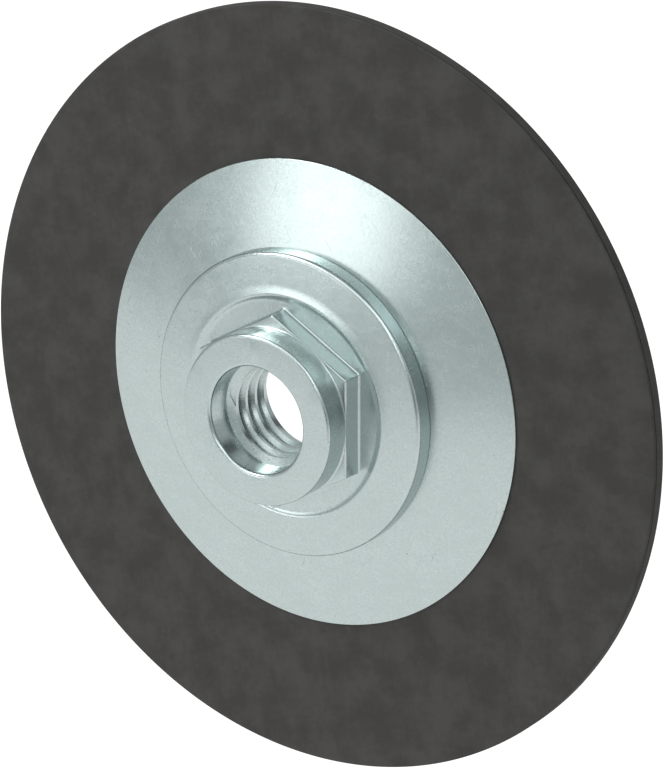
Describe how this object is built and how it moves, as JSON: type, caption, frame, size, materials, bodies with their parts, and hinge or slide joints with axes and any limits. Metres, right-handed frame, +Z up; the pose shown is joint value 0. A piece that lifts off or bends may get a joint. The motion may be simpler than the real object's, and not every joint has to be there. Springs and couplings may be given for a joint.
{
  "type": "hub-mounted diamond grinding wheel",
  "caption": "Depressed-centre grinding wheel with a threaded steel hub, clamping flanges and diamond pads bonded to a dark fibre-faced plate.",
  "frame": {"origin": "on the wheel's axis, in the end face of the hub's collar, which seats on the grinder spindle's shoulder", "axes": "the axis of rotation lies along Y; the hub and the grinder are towards -Y, the diamond pads face +Y; +Z is up with the wheel upright and the hexagon's points up and down; +X is to the right as seen from the hub side"},
  "size_m": [0.1142, 0.0187, 0.1142],
  "materials": {
    "zinc_plate": "bright zinc plate on steel, cool blue-green tint, fine scratches",
    "bush_steel": "plain rolled steel",
    "dark_fibre": "dark grey mottled fibre sheet, matte",
    "resin_bond": "dark bonded core, fine grained and matte",
    "glass_cloth": "open-weave glass cloth soaked in amber resin",
    "blotter_fibre": "grey-brown fibre washer board",
    "diamond_bond": "diamond grit in a bronze-coloured bond, rough and sparkling"
  },
  "bodies": {
    "root": {"hub_nut": "zinc_plate", "back_flange": "zinc_plate", "front_flange": "zinc_plate", "arbor_bush": "bush_steel", "back_facing": "dark_fibre", "pad_carrier": "dark_fibre", "core_plate": "resin_bond", "back_glass_cloth": "glass_cloth", "front_glass_cloth": "glass_cloth", "back_blotter": "blotter_fibre", "front_blotter": "blotter_fibre", "diamond_pad_outer_01": "diamond_bond", "diamond_pad_outer_02": "diamond_bond", "diamond_pad_outer_03": "diamond_bond", "diamond_pad_outer_04": "diamond_bond", "diamond_pad_outer_05": "diamond_bond", "diamond_pad_outer_06": "diamond_bond", "diamond_pad_outer_07": "diamond_bond", "diamond_pad_outer_08": "diamond_bond", "diamond_pad_outer_09": "diamond_bond", "diamond_pad_outer_10": "diamond_bond", "diamond_pad_outer_11": "diamond_bond", "diamond_pad_outer_12": "diamond_bond", "diamond_pad_outer_13": "diamond_bond", "diamond_pad_outer_14": "diamond_bond", "diamond_pad_outer_15": "diamond_bond", "diamond_pad_outer_16": "diamond_bond", "diamond_pad_outer_17": "diamond_bond", "diamond_pad_outer_18": "diamond_bond", "diamond_pad_inner_01": "diamond_bond", "diamond_pad_inner_02": "diamond_bond", "diamond_pad_inner_03": "diamond_bond", "diamond_pad_inner_04": "diamond_bond", "diamond_pad_inner_05": "diamond_bond", "diamond_pad_inner_06": "diamond_bond", "diamond_pad_inner_07": "diamond_bond", "diamond_pad_inner_08": "diamond_bond", "diamond_pad_inner_09": "diamond_bond", "diamond_pad_inner_10": "diamond_bond", "diamond_pad_inner_11": "diamond_bond", "diamond_pad_inner_12": "diamond_bond", "diamond_pad_inner_13": "diamond_bond", "diamond_pad_inner_14": "diamond_bond"}
  },
  "joints": []
}
